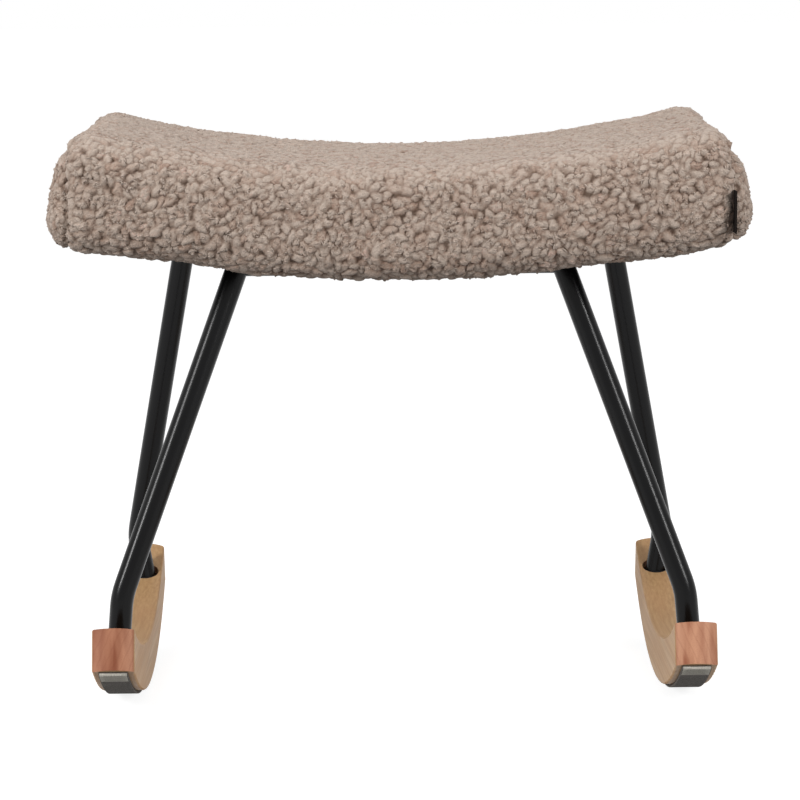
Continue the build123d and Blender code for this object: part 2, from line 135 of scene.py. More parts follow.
# Shader helpers


def paint(red, green, blue):
    """A linear colour from screen values of 0 to 255."""
    linear = (v / 255 / 12.92 if v < 11 else ((v / 255 + 0.055) / 1.055) ** 2.4 for v in (red, green, blue))
    return (*linear, 1.0)


def grey(value):
    return (value, value, value, 1.0)


def shader(name, **sockets):
    """A material with its Principled shader's sockets set, given as words joined by underscores."""
    material = bpy.data.materials.new(name)
    material.use_nodes = True
    tree = material.node_tree
    surface = tree.nodes["Principled BSDF"]
    for words, value in sockets.items():
        surface.inputs[words.replace("_", " ").title().replace("Ior", "IOR")].default_value = value
    return material, tree, surface


def node(tree, kind, inputs=None, **settings):
    """A node with its settings, and its inputs linked or set."""
    made = tree.nodes.new(kind)
    for key, value in settings.items():
        setattr(made, key, value)
    for key, value in (inputs or {}).items():
        if isinstance(value, bpy.types.NodeSocket):
            tree.links.new(value, made.inputs[key])
        else:
            made.inputs[key].default_value = value
    return made


def mixed(tree, factor, first, second, blend_type="MIX"):
    """The colour output of a mix of two colours."""
    inputs = {0: factor, 6: first, 7: second}
    return node(tree, "ShaderNodeMix", inputs, data_type="RGBA", blend_type=blend_type).outputs[2]


def ramp(tree, factor, *stops):
    """The colour output of a ramp through (place, colour) stops."""
    made = node(tree, "ShaderNodeValToRGB", {"Fac": factor})
    elements = made.color_ramp.elements
    while len(elements) < len(stops):
        elements.new(0.5)
    for element, (place, colour) in zip(elements, stops, strict=True):
        element.position = place
        element.color = colour
    return made.outputs["Color"]


def spots(tree, vector, scale, detail=3.0, roughness=0.5, distortion=0.0):
    """The factor of a noise texture."""
    inputs = {"Vector": vector, "Scale": scale, "Detail": detail, "Roughness": roughness}
    return node(tree, "ShaderNodeTexNoise", inputs | {"Distortion": distortion}).outputs["Fac"]


def cells(tree, vector, scale, output="Distance", randomness=1.0):
    """An output of a cell texture."""
    inputs = {"Vector": vector, "Scale": scale, "Randomness": randomness}
    return node(tree, "ShaderNodeTexVoronoi", inputs).outputs[output]


def coordinates(tree, output):
    return node(tree, "ShaderNodeTexCoord").outputs[output]


def place_in(tree, scale=(1, 1, 1), location=(0, 0, 0), rotation=(0, 0, 0)):
    """Object coordinates, stretched, turned and moved."""
    inputs = {"Vector": coordinates(tree, "Object"), "Scale": scale, "Rotation": rotation}
    return node(tree, "ShaderNodeMapping", inputs | {"Location": location}).outputs["Vector"]


def part_of(tree, vector, axis):
    """One of a vector's X, Y and Z."""
    return node(tree, "ShaderNodeSeparateXYZ", {"Vector": vector}).outputs[axis]


def combined(tree, operation, *values):
    """The output of a sum, a difference or another operation on numbers."""
    return node(tree, "ShaderNodeMath", dict(enumerate(values)), operation=operation).outputs[0]


def coloured(tree, surface, colour, roughness=None):
    """Links the base colour, and the roughness where it varies."""
    tree.links.new(colour, surface.inputs["Base Color"])
    if roughness is not None:
        tree.links.new(roughness, surface.inputs["Roughness"])


def bumped(tree, surface, height, strength, distance):
    inputs = {"Height": height, "Strength": strength, "Distance": distance}
    bump = node(tree, "ShaderNodeBump", inputs)
    tree.links.new(bump.outputs["Normal"], surface.inputs["Normal"])


def shown_share(tree):
    """1 where the camera, a mirror or glass looks on, and 0 in the light that falls on the object."""
    path = node(tree, "ShaderNodeLightPath").outputs
    seen = combined(tree, "MAXIMUM", path["Is Camera Ray"], path["Is Glossy Ray"])
    return combined(tree, "MAXIMUM", seen, path["Is Transmission Ray"])


# Materials


def black_steel():
    """Satin black powder coat with a faint orange peel."""
    material, tree, surface = shader("black_powder_coat", roughness=0.25, specular_ior_level=0.17)
    peel = spots(tree, place_in(tree), 900.0, detail=2.0)
    patches = spots(tree, place_in(tree), 22.0)
    colour = ramp(tree, patches, (0.3, paint(2, 2, 3)), (0.7, paint(4, 4, 5)))
    coloured(tree, surface, colour, ramp(tree, patches, (0.3, grey(0.22)), (0.7, grey(0.28))))
    bumped(tree, surface, peel, 0.25, 0.0002)
    return material


def black_collar():
    """Matt black collars."""
    material, tree, surface = shader("black_collar", roughness=0.6, specular_ior_level=0.2)
    grains = spots(tree, place_in(tree), 1500.0, detail=2.0)
    coloured(tree, surface, ramp(tree, grains, (0.35, paint(16, 16, 17)), (0.65, paint(26, 26, 27))))
    bumped(tree, surface, grains, 0.3, 0.0002)
    return material


def zinc():
    """Zinc-plated fasteners with faint spangle."""
    material, tree, surface = shader("zinc_plate", roughness=0.35, metallic=1.0)
    spangle = cells(tree, place_in(tree), 700.0, "Color")
    tone = node(tree, "ShaderNodeSeparateColor", {"Color": spangle}).outputs["Red"]
    colour = ramp(tree, tone, (0.0, grey(0.42)), (1.0, grey(0.62)))
    coloured(tree, surface, colour, ramp(tree, tone, (0.0, grey(0.28)), (1.0, grey(0.42))))
    return material


def left_end_painted_shade(tree):
    """Painted shade: the left runner's end grain is darker and redder than the right one's, to offset the
    front-left lamp's light.
    """
    side = part_of(tree, coordinates(tree, "Object"), "X")
    return ramp(tree, side, (0.0, paint(228, 218, 214)), (0.1, paint(254, 255, 255)))


def beech():
    """Lacquered beech: fine lengthwise grain and flecks, and reddish end grain in soft upright bands."""
    material, tree, surface = shader("beech", roughness=0.5, specular_ior_level=0.15)
    broad = spots(tree, place_in(tree, scale=(1, 0.10, 1)), 45.0)
    lines = spots(tree, place_in(tree, scale=(1, 0.02, 1)), 420.0, detail=4.0, roughness=0.6)
    flecks = spots(tree, place_in(tree, scale=(1, 0.09, 1)), 1500.0, detail=2.0, roughness=0.6)
    along = ramp(tree, lines, (0.32, paint(166, 128, 88)), (0.68, paint(190, 154, 112)))
    broad_mask = ramp(tree, broad, (0.40, grey(0.0)), (0.65, grey(0.55)))
    along = mixed(tree, broad_mask, along, paint(182, 140, 102))
    fleck_mask = ramp(tree, flecks, (0.60, grey(0.0)), (0.74, grey(0.4)))
    along = mixed(tree, fleck_mask, along, paint(146, 106, 70))

    bands = spots(tree, place_in(tree, scale=(1, 0.3, 0.16)), 95.0, detail=2.0, distortion=0.4)
    across = ramp(tree, bands, (0.34, paint(148, 92, 68)), (0.66, paint(200, 148, 118)))
    rings = {"Vector": place_in(tree, location=(0, 0, 0.03)), "Scale": 48.0, "Distortion": 3.0, "Detail": 2.0}
    arcs = node(tree, "ShaderNodeTexWave", rings, wave_type="RINGS", rings_direction="Y").outputs["Fac"]
    arc_mask = ramp(tree, arcs, (0.84, grey(0.0)), (0.98, grey(0.16)))
    across = mixed(tree, arc_mask, across, paint(136, 80, 58))
    pores = spots(tree, place_in(tree), 1900.0, detail=2.0)
    pore_mask = ramp(tree, pores, (0.56, grey(0.0)), (0.72, grey(0.35)))
    across = mixed(tree, pore_mask, across, paint(136, 80, 58))
    # Painted shade on the left runner's end grain
    across = mixed(tree, 1.0, across, left_end_painted_shade(tree), "MULTIPLY")

    facing = combined(tree, "ABSOLUTE", part_of(tree, coordinates(tree, "Normal"), "Y"))
    at_end = ramp(tree, facing, (0.52, grey(0.0)), (0.58, grey(1.0)))
    colour = mixed(tree, at_end, along, across)
    coloured(tree, surface, colour, ramp(tree, broad, (0.3, grey(0.45)), (0.7, grey(0.56))))
    bumped(tree, surface, flecks, 0.10, 0.0002)
    return material


def felt():
    """Pressed grey felt with loose lighter and darker fibres."""
    material, tree, surface = shader("felt", roughness=0.95, specular_ior_level=0.1, sheen_weight=0.2)
    fibres = spots(tree, place_in(tree), 900.0, detail=4.0, roughness=0.7, distortion=1.2)
    clouds = spots(tree, place_in(tree), 120.0)
    tones = (0.30, paint(66, 61, 57)), (0.52, paint(102, 96, 90)), (0.72, paint(148, 142, 134))
    cloud_tone = ramp(tree, clouds, (0.3, paint(68, 63, 59)), (0.7, paint(108, 101, 95)))
    coloured(tree, surface, mixed(tree, 0.25, ramp(tree, fibres, *tones), cloud_tone))
    bumped(tree, surface, fibres, 0.6, 0.0006)
    return material


def plywood():
    """Edge and face of unfinished plywood."""
    material, tree, surface = shader("plywood", roughness=0.8, specular_ior_level=0.2)
    grain = spots(tree, place_in(tree, scale=(0.08, 1, 1)), 260.0, detail=4.0, roughness=0.6)
    coloured(tree, surface, ramp(tree, grain, (0.3, paint(178, 142, 98)), (0.7, paint(214, 184, 140))))
    bumped(tree, surface, grain, 0.2, 0.0003)
    return material


def foam():
    """Cut foam with fine open cells."""
    material, tree, surface = shader("foam", roughness=0.95, specular_ior_level=0.1)
    bubbles = cells(tree, place_in(tree), 900.0)
    coloured(tree, surface, ramp(tree, bubbles, (0.1, paint(206, 196, 168)), (0.6, paint(238, 230, 208))))
    bumped(tree, surface, bubbles, 0.5, 0.0006)
    return material


def lining():
    """Black non-woven cloth, pressed in small diamonds."""
    material, tree, surface = shader("lining", roughness=0.9, specular_ior_level=0.12)
    dots = cells(tree, place_in(tree, rotation=(0, 0, pi / 4)), 650.0, randomness=0.15)
    fibres = spots(tree, place_in(tree), 700.0, detail=4.0, distortion=1.0)
    dot_tone = ramp(tree, dots, (0.1, paint(20, 20, 21)), (0.5, paint(34, 34, 35)))
    fibre_tone = ramp(tree, fibres, (0.35, paint(18, 18, 19)), (0.65, paint(44, 44, 45)))
    coloured(tree, surface, mixed(tree, 0.4, dot_tone, fibre_tone))
    bumped(tree, surface, dots, 0.5, 0.0004)
    return material


def tab_tape():
    """Dark woven tape."""
    material, tree, surface = shader("tab_tape", roughness=0.85, specular_ior_level=0.05)
    inputs = {"Vector": place_in(tree), "Scale": 380.0, "Distortion": 0.4}
    ribs = node(tree, "ShaderNodeTexWave", inputs, bands_direction="Z").outputs["Fac"]
    coloured(tree, surface, ramp(tree, ribs, (0.2, paint(14, 11, 10)), (0.8, paint(32, 27, 25))))
    bumped(tree, surface, ribs, 0.5, 0.0003)
    return material


def curly_pile():
    """Taupe loop yarn. Across its map the tone changes from nub to nub, and up it from root to tip, with
    painted shade that darkens the roots in the creases.
    """
    material, tree, surface = shader(
        "curly_pile", roughness=0.92, specular_ior_level=0.12, sheen_weight=0.18, sheen_roughness=0.5
    )
    spot = node(tree, "ShaderNodeUVMap", uv_map="OFBake").outputs["UV"]
    # Painted shade: darker towards the roots in the creases between nubs, lighter at the tips
    height = ramp(
        tree,
        part_of(tree, spot, "Y"),
        (0.15, paint(88, 71, 61)),
        (0.45, paint(138, 120, 109)),
        (0.75, paint(170, 154, 144)),
        (1.0, paint(190, 176, 167)),
    )
    tone = ramp(
        tree,
        part_of(tree, spot, "X"),
        (0.0, paint(216, 196, 184)),
        (0.12, paint(238, 226, 216)),
        (0.5, paint(248, 244, 238)),
        (0.88, paint(255, 252, 246)),
        (1.0, paint(255, 236, 228)),
    )
    coloured(tree, surface, mixed(tree, 1.0, height, tone, "MULTIPLY"))
    fibres = spots(tree, place_in(tree), 1500.0, detail=4.0, roughness=0.65)
    fluff = combined(tree, "SUBTRACT", fibres, cells(tree, place_in(tree), 430.0))
    bumped(tree, surface, fluff, 0.6, 0.0016)
    return material


def label_cloth():
    """Pale woven cloth, bare."""
    material, tree, surface = shader("label_cloth", roughness=0.9, specular_ior_level=0.1)
    threads = spots(tree, place_in(tree, scale=(1, 0.3, 0.3)), 1800.0, detail=2.0)
    coloured(tree, surface, ramp(tree, threads, (0.35, paint(170, 166, 156)), (0.65, paint(204, 200, 190))))
    bumped(tree, surface, threads, 0.3, 0.0002)
    return material


MATERIALS = {
    "beech": beech(),
    "black_steel": black_steel(),
    "black_trim": black_collar(),
    "zinc_steel": zinc(),
    "felt": felt(),
    "plywood": plywood(),
    "foam": foam(),
    "lining": lining(),
    "tab_cloth": tab_tape(),
}
PILE = curly_pile()
LABEL = label_cloth()


def dress_nodes():
    """Gives each CAD node the material of its slot. The cover's panels have none: a shell replaces them."""
    for part in frame["record"]["subparts"]:
        material = MATERIALS.get(part["material_slot"])
        if material is not None:
            mesh = nodes[part["node"]].data
            mesh.materials.clear()
            mesh.materials.append(material)


# Meshes and objects


def vertex_values(mesh, name):
    """A vertex property of three numbers, as an array."""
    found = np.empty(len(mesh.vertices) * 3)
    mesh.vertices.foreach_get(name, found)
    return found.reshape(-1, 3)


def positions(mesh):
    return vertex_values(mesh, "co")


def vertex_normals(mesh):
    return vertex_values(mesh, "normal")


def set_positions(mesh, places):
    mesh.vertices.foreach_set("co", places.ravel())
    mesh.update()


def applied(piece):
    """Puts the result of piece's modifiers into its mesh."""
    graph = bpy.context.evaluated_depsgraph_get()
    result = bpy.data.meshes.new_from_object(piece.evaluated_get(graph))
    piece.modifiers.clear()
    piece.data = result
    return piece


def surface_tree(name):
    """A CAD node's surface, ready for rays and for nearest points."""
    return BVHTree.FromObject(nodes[name], bpy.context.evaluated_depsgraph_get())


def mesh_from(made, name):
    """A mesh from a bmesh, which is freed."""
    mesh = bpy.data.meshes.new(name)
    made.to_mesh(mesh)
    made.free()
    return mesh


def smooth_step(values, low, high):
    share = np.clip((values - low) / (high - low), 0, 1)
    return share * share * (3 - 2 * share)


def lumps(places, size, seed):
    """Smooth noise between about -1 and 1, with lumps of the given size."""
    shift = Vector((seed * 17.3, seed * 5.1, seed * 9.7))
    return np.array([noise.noise(Vector(p) / size + shift) for p in places]) * 1.6


def unit(vectors):
    """The vectors at length 1."""
    return vectors / np.linalg.norm(vectors, axis=-1, keepdims=True)


def give_smooth(mesh):
    mesh.polygons.foreach_set("use_smooth", np.ones(len(mesh.polygons), bool))


def linked(name, data):
    """An object in the scene."""
    piece = bpy.data.objects.new(name, data)
    bpy.context.scene.collection.objects.link(piece)
    return piece


def new_piece(name, mesh, material):
    """A smooth object of one material."""
    piece = linked(name, mesh)
    mesh.materials.clear()
    mesh.materials.append(material)
    give_smooth(mesh)
    return piece


# Cover: remeshed from the sewn shell, puffed up, then raised into nubs with strands of yarn round them

COVER_NODES = ("cover_main_panel", "cover_left_end_panel", "cover_right_end_panel")
SEAM_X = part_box("cover_main_panel")[1][0]


def cover_blank():
    """One closed shell from the three panels."""
    joined = bmesh.new()
    for name in COVER_NODES:
        joined.from_mesh(nodes[name].data)
    piece = new_piece("seat_cover", mesh_from(joined, "seat_cover"), PILE)
    remesh = piece.modifiers.new("even", "REMESH")
    remesh.mode = "VOXEL"
    remesh.voxel_size = REMESH_VOXEL
    return applied(piece)


def outside_share(places):
    """0 where a point lies against the foam, 1 on the outside of the shell."""
    foam_tree = surface_tree("seat_foam")
    gaps = np.array([foam_tree.find_nearest(Vector(p))[3] for p in places])
    return smooth_step(gaps, SHELL_NEAR, SHELL_FAR)


def puffed(piece, outside):
    """Cloth under pressure, held on the inside, with each point's move capped."""
    held = piece.vertex_groups.new(name="held")
    for index in np.flatnonzero(outside < HELD_BELOW):
        held.add([int(index)], 1.0 - float(outside[index]), "REPLACE")
    before = positions(piece.data)
    cloth = piece.modifiers.new("puff", "CLOTH")
    cloth.settings.vertex_group_mass = held.name
    cloth.settings.use_pressure = True
    cloth.settings.uniform_pressure_force = PUFF_PRESSURE
    cloth.settings.effector_weights.gravity = 0.0
    for step in range(1, PUFF_FRAMES + 1):
        bpy.context.scene.frame_set(step)
    after = positions(applied(piece).data)
    bpy.context.scene.frame_set(1)
    move = after - before
    length = np.linalg.norm(move, axis=1, keepdims=True)
    set_positions(piece.data, before + move * np.minimum(1, PUFF_CAP / np.maximum(length, 1e-9)))


def refined(mesh, outside):
    """Cuts the outside's faces finer, so that they can carry the nubs. Returns the new outside shares."""
    mesh.attributes.new("outside", "FLOAT", "POINT").data.foreach_set("value", outside)
    fine = bmesh.new()
    fine.from_mesh(mesh)
    share = fine.verts.layers.float["outside"]
    edges = [edge for edge in fine.edges if min(end[share] for end in edge.verts) > FINE_ABOVE]
    bmesh.ops.subdivide_edges(fine, edges=edges, cuts=REFINE_CUTS, use_grid_fill=True)
    bmesh.ops.triangulate(fine, faces=[face for face in fine.faces if len(face.verts) > 4])
    fine.to_mesh(mesh)
    fine.free()
    found = np.empty(len(mesh.vertices))
    mesh.attributes["outside"].data.foreach_get("value", found)
    mesh.attributes.remove(mesh.attributes["outside"])
    return found


def relaxed(mesh, outside):
    """Evens out the facets that the coarse shell leaves on the outside."""
    ends = np.empty(len(mesh.edges) * 2, int)
    mesh.edges.foreach_get("vertices", ends)
    ends = ends.reshape(-1, 2)
    places = positions(mesh)
    count = np.bincount(ends.ravel(), minlength=len(places))[:, None]
    for _ in range(RELAX_ROUNDS):
        total = np.zeros_like(places)
        for axis in range(3):
            total[:, axis] = np.bincount(ends[:, 0], places[ends[:, 1], axis], len(places))
            total[:, axis] += np.bincount(ends[:, 1], places[ends[:, 0], axis], len(places))
        places += (total / count - places) * RELAX_SHARE * outside[:, None]
    set_positions(mesh, places)


def stuffed(mesh, outside):
    """Gives the shell its seam grooves, hanging rim, bulging ends and uneven corners."""
    places = positions(mesh)
    normals = vertex_normals(mesh)
    sideways = np.abs(places[:, 0])
    swell = SWELL_HEIGHT * lumps(places, SWELL_SIZE, 1)
    groove = SEAM_GROOVE * np.exp(-(((sideways - SEAM_X) / GROOVE_WIDTH) ** 2))
    low = smooth_step(-normals[:, 2], -0.1, 0.7)
    at_end = smooth_step(sideways, SEAM_X - 0.004, SEAM_X + 0.006)
    rim = np.maximum(smooth_step(np.abs(places[:, 1]), *RIM_DEPTHS), at_end)
    bulge = END_SWELL * at_end * smooth_step(-normals[:, 2], -0.75, 0.2)
    places += normals * ((swell - groove + bulge) * outside)[:, None]
    tuck = np.exp(-(((places[:, 0] - TUCK_X) / TUCK_REACH) ** 2))
    places[:, 2] -= RIM_DROP * low * rim * (1 - tuck) * outside
    corner = smooth_step(np.abs(places[:, 0]), *CORNER_SPAN) * smooth_step(places[:, 2], *CORNER_LEVELS)
    rear = corner * smooth_step(places[:, 1], 0.02, 0.12) * outside
    front = smooth_step(-places[:, 1], -0.03, 0.10)
    front_right = corner * smooth_step(places[:, 0], *RIGHT_CORNER_SPAN) * front * outside
    places[:, 2] += REAR_CORNER_RISE * rear - RIGHT_CORNER_SAG * front_right
    places[:, 0] += REAR_CORNER_RISE * rear * (0.5 + places[:, 0] / 0.3)
    set_positions(mesh, places)


def cover_shell():
    """The cover without its pile, and each point's outside share."""
    piece = cover_blank()
    outside = outside_share(positions(piece.data))
    inset = vertex_normals(piece.data) * (PILE_DEPTH + PUFF_CAP / 2) * outside[:, None]
    set_positions(piece.data, positions(piece.data) - inset)
    puffed(piece, outside)
    outside = refined(piece.data, outside)
    relaxed(piece.data, outside)
    stuffed(piece.data, outside)
    return piece, outside


def candidates(mesh, outside, count, rng):
    """Random points on the outside of the shell, with their normals."""
    mesh.calc_loop_triangles()
    corners = np.empty(len(mesh.loop_triangles) * 3, int)
    mesh.loop_triangles.foreach_get("vertices", corners)
    corners = corners.reshape(-1, 3)
    corners = corners[outside[corners].min(axis=1) > NUBS_ABOVE]
    places, normals = positions(mesh), vertex_normals(mesh)
    edges = places[corners[:, 1:]] - places[corners[:, :1]]
    area = np.linalg.norm(np.cross(edges[:, 0], edges[:, 1]), axis=1)
    chosen = rng.choice(len(corners), count, p=area / area.sum())
    share = rng.dirichlet((1, 1, 1), count)[:, :, None]
    points = (places[corners[chosen]] * share).sum(axis=1)
    return points, unit((normals[corners[chosen]] * share).sum(axis=1))


def thinned(points, spacing):
    """Indices of the points that keep their spacing from all points kept before them."""
    kept, grid = [], {}
    keys = np.floor(points / spacing.max()).astype(int)
    around = [(i, j, k) for i in (-1, 0, 1) for j in (-1, 0, 1) for k in (-1, 0, 1)]
    listed = points.tolist()
    for index, (a, b, c) in enumerate(keys.tolist()):
        x, y, z = listed[index]
        least = spacing[index] ** 2
        near = (other for i, j, k in around for other in grid.get((a + i, b + j, c + k), ()))
        if all((x - p[0]) ** 2 + (y - p[1]) ** 2 + (z - p[2]) ** 2 > least for p in near):
            kept.append(index)
            grid.setdefault((a, b, c), []).append(listed[index])
    return np.array(kept)


def nub_layout(mesh, outside, rng):
    """The nubs' roots, sizes and tones: finer and lower on top and at the ends, and wider apart beneath."""
    points, normals = candidates(mesh, outside, NUB_CANDIDATES, rng)
    top = smooth_step(normals[:, 2], 0.35, 0.85)
    under = smooth_step(-normals[:, 2], 0.5, 0.9)
    end = smooth_step(np.abs(points[:, 0]), SEAM_X, SEAM_X + 0.004)
    spacing = NUB_SPACING * (1 + CLUMP_SPREAD * lumps(points, CLUMP_SIZE, 3))
    spacing *= 1 - 0.12 * top + 0.15 * under - 0.22 * end
    kept = thinned(points, spacing)
    points, normals, top, under, end, spacing = (a[kept] for a in (points, normals, top, under, end, spacing))
    count = len(points)
    reach = spacing * rng.uniform(0.70, 0.95, count)
    height = NUB_HEIGHT * spacing / NUB_SPACING * rng.uniform(0.55, 1.05, count)
    height *= 1 - 0.38 * top - 0.25 * under - 0.30 * end
    lean = rng.normal(size=(count, 3))
    lean -= (lean * normals).sum(axis=1, keepdims=True) * normals
    lean *= NUB_LEAN / np.linalg.norm(lean, axis=1, keepdims=True)
    tone = np.clip(rng.beta(2.2, 2.2, count), MAP_MARGIN, 1 - MAP_MARGIN)
    crease = np.sqrt(rng.uniform(0.15, 1.0, count))
    return SimpleNamespace(
        points=points,
        normals=normals,
        top=top,
        under=under,
        spacing=spacing,
        reach=reach,
        height=height,
        # how deep the painted crease shade goes: less on top, where it is painted lighter
        shade=1 - 0.35 * top,
        lean=lean,
        tone=tone,
        crease=crease,
    )


def give_map(mesh, tone, rise):
    """Gives the mesh the map that the pile's material reads, from each vertex's tone and rise."""
    spot = np.clip(np.stack([tone, rise], axis=-1), MAP_MARGIN, 1 - MAP_MARGIN).astype(np.float32)
    layer = mesh.uv_layers.new(name="OFBake", do_init=False)
    used = np.empty(len(mesh.loops), int)
    mesh.loops.foreach_get("vertex_index", used)
    layer.uv.foreach_set("vector", spot[used].ravel())


def raised(mesh, outside, nubs, rng):
    """Raises a long nub of pile over each root, with creases between. Maps the shell by tone and by rise."""
    tree = kdtree.KDTree(len(nubs.points))
    for index, root in enumerate(nubs.points):
        tree.insert(root, index)
    tree.balance()
    places = positions(mesh)
    outer = np.flatnonzero(outside > PILE_ABOVE)
    warp = np.zeros((len(outer), 3))
    for share in (1.0, 0.5):
        size = WARP_SIZE * share
        warp += np.array([noise.noise_vector(Vector(p) / size) for p in places[outer]]) * WARP * share
    warped = places[outer] + warp
    owner = np.array([[hit[1] for hit in tree.find_n(p, 4)] for p in warped])
    offset = warped[:, None] - nubs.points[owner]
    length = unit(nubs.lean)[owner]
    offset -= NUB_STRETCH * (offset * length).sum(axis=2, keepdims=True) * length
    away = np.linalg.norm(offset, axis=2) / nubs.reach[owner]
    order = away.argsort(axis=1)
    away = np.take_along_axis(away, order, axis=1)
    owner = np.take_along_axis(owner, order, axis=1)
    depth = CREASE_DEPTH * nubs.crease[owner[:, 0]] * nubs.crease[owner[:, 1]]
    owner = owner[:, 0]
    gap = depth * np.exp(-(((away[:, 1] - away[:, 0]) / CREASE_WIDTH) ** 2))
    dome = np.sqrt(np.clip(1 - away[:, 0] ** 2, PIT_LEVEL**2, 1)) * (1 - gap)
    normals = vertex_normals(mesh)[outer]
    push = outside[outer][:, None] * (dome * nubs.height[owner])[:, None]
    places[outer] += push * (normals + nubs.lean[owner] * dome[:, None])
    set_positions(mesh, places)
    tone, rise = np.zeros((2, len(places)))
    tone[outer] = nubs.tone[owner] + rng.normal(0, TONE_SPREAD, len(outer))
    # The rise carries the painted shade of the creases
    rise[outer] = 1 - (1 - dome) * nubs.shade[owner] + rng.normal(0, RISE_SPREAD, len(outer))
    give_map(mesh, tone, rise)


def tube_faces(count):
    """The faces of a number of closed tubes, whose points are listed ring by ring."""
    corner = np.arange(STRAND_SIDES)
    first = np.arange(STRAND_RINGS - 1)[:, None] * STRAND_SIDES
    here, after = first + corner, first + (corner + 1) % STRAND_SIDES
    quads = np.stack([here, after, after + STRAND_SIDES, here + STRAND_SIDES], axis=-1).reshape(-1, 4)
    start = np.arange(count)[:, None, None] * STRAND_RINGS * STRAND_SIDES
    sides = (start + quads).reshape(-1, 4)
    low_caps = start[:, 0] + corner[::-1]
    high_caps = start[:, 0] + corner + (STRAND_RINGS - 1) * STRAND_SIDES
    return sides.tolist() + low_caps.tolist() + high_caps.tolist()


def strands(name, roots, normals, wind, height, tone, shade, rng):
    """Strands of yarn wound part of the way round the nubs, each a tapered tube."""
    count = len(roots)
    first = unit(np.cross(normals, rng.normal(size=(count, 3))))
    second = np.cross(normals, first)
    tilt = rng.uniform(0.7, 1.55, count)[:, None]
    axis = np.cos(tilt) * normals + np.sin(tilt) * first
    upward = np.sin(tilt) * normals - np.cos(tilt) * first
    share = np.linspace(-1, 1, STRAND_RINGS)
    angle = rng.uniform(-0.6, 0.6, count)[:, None] + rng.uniform(0.9, 1.9, count)[:, None] * share
    aside = rng.uniform(-0.65, 0.65, count)[:, None] + rng.uniform(-0.3, 0.3, count)[:, None] * share
    ring = np.sqrt(1 - aside**2)
    outward = np.cos(angle)[..., None] * upward[:, None] + np.sin(angle)[..., None] * second[:, None]
    outward = outward * ring[..., None] + axis[:, None] * aside[..., None]
    path = outward * wind[:, None, None]
    yarn = rng.uniform(*YARN_RADII, count)[:, None] * np.sqrt(np.cos(0.47 * pi * share))
    across = unit(np.cross(outward, np.gradient(path, axis=1)))
    around = np.arange(STRAND_SIDES) / STRAND_SIDES * 2 * pi
    section = np.cos(around)[:, None] * outward[:, :, None] + np.sin(around)[:, None] * across[:, :, None]
    local = path[:, :, None] + section * yarn[..., None, None]
    above = np.einsum("nrsc,nc->nrs", local, normals)
    flatten = (height / wind)[:, None, None] - 1
    local += (flatten * above)[..., None] * normals[:, None, None]
    places = (roots[:, None, None] + local).reshape(-1, 3)
    # Painted shade: strands darker towards their roots
    rise = 1 - (1 - np.clip(above / wind[:, None, None], 0, 1)) * shade[:, None, None] * 0.8
    tones = tone[:, None, None] + rng.normal(0, TONE_SPREAD, rise.shape)
    mesh = bpy.data.meshes.new(name)
    mesh.from_pydata(places.tolist(), [], tube_faces(count))
    give_map(mesh, tones.ravel(), rise.ravel())
    return new_piece(name, mesh, PILE)


def curls_of(nubs):
    """The name of the piece that holds each nub's strands."""
    x, y = nubs.points[:, 0], nubs.points[:, 1]
    places = {
        "left_end_curls": x < -SEAM_X,
        "right_end_curls": x > SEAM_X,
        "under_curls": nubs.under > 0.5,
        "top_left_curls": (nubs.top > 0.5) & (x < 0),
        "top_right_curls": nubs.top > 0.5,
        "back_curls": y > 0,
    }
    return np.select(list(places.values()), list(places), default="front_curls")


def curly_cover():
    shell, outside = cover_shell()
    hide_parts(*COVER_NODES)
    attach(shell, "root")
    noise.seed_set(PILE_SEED)
    rng = np.random.default_rng(PILE_SEED)
    nubs = nub_layout(shell.data, outside, rng)
    raised(shell.data, outside, nubs, rng)
    give_smooth(shell.data)
    names = curls_of(nubs)
    for name, strands_per_nub in STRANDS_PER_NUB.items():
        mine = np.repeat(np.flatnonzero(names == name), strands_per_nub)
        height = nubs.height[mine] * rng.uniform(0.80, 1.10, len(mine))
        wind = nubs.spacing[mine] * rng.uniform(0.28, 0.56, len(mine))
        normals = nubs.normals[mine]
        roots = nubs.points[mine] + nubs.lean[mine] * height[:, None] * 0.5
        roots += np.cross(normals, rng.normal(size=(len(mine), 3))) * (nubs.spacing[mine] * 0.18)[:, None]
        piece = strands(name, roots, normals, wind, height, nubs.tone[mine], nubs.shade[mine], rng)
        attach(piece, "root")


# Labels


def felt_label(side):
    """A blank label on the front end of a felt strip's underside, which turns up the strip's end."""
    name = f"{side}_felt_label"
    strip = f"{side}_felt_strip"
    low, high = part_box(strip)
    strip_tree = surface_tree(strip)
    across = (low[0] + high[0]) / 2 + LABEL_WIDTH * np.linspace(-0.5, 0.5, 5)
    along = low[1] + LABEL_SETBACK + LABEL_LENGTH * np.linspace(0, 1, 13)
    upward, backward = Vector((0, 0, 1)), Vector((0, 1, 0))
    corner = strip_tree.ray_cast(Vector((across[0], along[0], -RAY_ROOM)), upward)[0].z
    rays = [(low[1] - RAY_ROOM, corner + LABEL_TURN * share, backward) for share in (1.0, 0.5, 0.1)]
    rays += [(y, -RAY_ROOM, upward) for y in along]
    inner, outer = [], []
    for y, z, aim in rays:
        for x in across:
            place, normal = strip_tree.ray_cast(Vector((x, y, z)), aim)[:2]
            inner.append(place)
            outer.append(place + normal * LABEL_THICKNESS)
    made = bmesh.new()
    layers = [[made.verts.new(place) for place in layer] for layer in (inner, outer)]
    columns = len(across)
    for layer, flip in zip(layers, (True, False), strict=True):
        for row in range(len(rays) - 1):
            for column in range(columns - 1):
                start = row * columns + column
                ring = [layer[start + step] for step in (0, 1, columns + 1, columns)]
                made.faces.new(ring[::-1] if flip else ring)
    bmesh.ops.bridge_loops(made, edges=[edge for edge in made.edges if edge.is_boundary])
    bmesh.ops.recalc_face_normals(made, faces=made.faces)
    piece = new_piece(name, mesh_from(made, name), LABEL)
    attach(piece, "root")


# Stage, light and camera


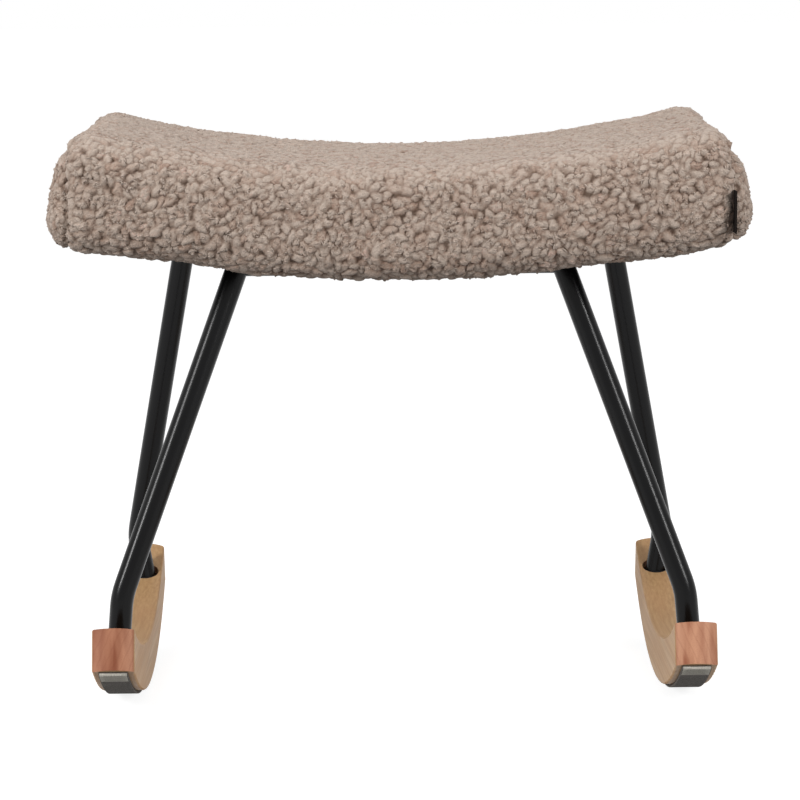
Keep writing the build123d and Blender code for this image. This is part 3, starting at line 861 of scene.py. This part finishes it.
def floor():
    """A pale floor. The camera and mirrors see it near white, and it keeps soft shadows."""
    corners = [(x * FLOOR_REACH, y * FLOOR_REACH, 0) for x, y in ((-1, -1), (1, -1), (1, 1), (-1, 1))]
    mesh = bpy.data.meshes.new("floor")
    mesh.from_pydata(corners, [], [(0, 1, 2, 3)])
    piece = linked("floor", mesh)
    material = bpy.data.materials.new("floor")
    material.use_nodes = True
    tree = material.node_tree
    tree.nodes.remove(tree.nodes["Principled BSDF"])
    plain = node(tree, "ShaderNodeBsdfDiffuse", {"Color": grey(FLOOR_TONE)})
    shaded = node(tree, "ShaderNodeBsdfDiffuse", {"Color": grey(FLOOR_SHOWN_TONE)})
    glow = node(tree, "ShaderNodeEmission", {"Color": grey(1.0), "Strength": FLOOR_GLOW})
    shown = node(tree, "ShaderNodeAddShader", {0: shaded.outputs[0], 1: glow.outputs[0]})
    inputs = {0: shown_share(tree), 1: plain.outputs[0], 2: shown.outputs[0]}
    both = node(tree, "ShaderNodeMixShader", inputs)
    tree.links.new(both.outputs[0], tree.nodes["Material Output"].inputs["Surface"])
    mesh.materials.append(material)


def world():
    """Soft light from all round. The camera and mirrors see white."""
    made = bpy.data.worlds.new("studio")
    bpy.context.scene.world = made
    made.use_nodes = True
    tree = made.node_tree
    light = node(tree, "ShaderNodeBackground", {"Color": grey(1.0), "Strength": WORLD_LIGHT})
    shown = node(tree, "ShaderNodeBackground", {"Color": grey(1.0), "Strength": 1.0})
    inputs = {0: shown_share(tree), 1: light.outputs[0], 2: shown.outputs[0]}
    both = node(tree, "ShaderNodeMixShader", inputs)
    tree.links.new(both.outputs[0], tree.nodes["World Output"].inputs["Surface"])


def softbox(name, place, target, size, power):
    lamp = bpy.data.lights.new(name, "AREA")
    lamp.shape = "RECTANGLE"
    lamp.size, lamp.size_y = size
    lamp.energy = power
    piece = linked(name, lamp)
    piece.location = place
    piece.rotation_euler = (Vector(target) - Vector(place)).to_track_quat("-Z", "Y").to_euler()


def camera():
    made = bpy.data.cameras.new("camera")
    made.lens = CAMERA_LENS
    made.sensor_width = CAMERA_SENSOR
    made.clip_end = CAMERA_REACH
    piece = linked("camera", made)
    flat = cos(CAMERA_PITCH)
    ahead = Vector((sin(CAMERA_YAW) * flat, cos(CAMERA_YAW) * flat, -sin(CAMERA_PITCH)))
    level = Vector((cos(CAMERA_YAW), -sin(CAMERA_YAW), 0))
    upright = level.cross(ahead)
    right = cos(CAMERA_ROLL) * level + sin(CAMERA_ROLL) * upright
    up = -sin(CAMERA_ROLL) * level + cos(CAMERA_ROLL) * upright
    turn = Matrix((right, up, -ahead)).transposed().to_4x4()
    piece.matrix_world = Matrix.Translation(CAMERA_PLACE) @ turn
    bpy.context.scene.camera = piece


bpy.context.scene.view_settings.view_transform = "Standard"
dress_nodes()
curly_cover()
for runner_side in ("left", "right"):
    felt_label(runner_side)
floor()
world()
for box in SOFTBOXES:
    softbox(*box)
camera()
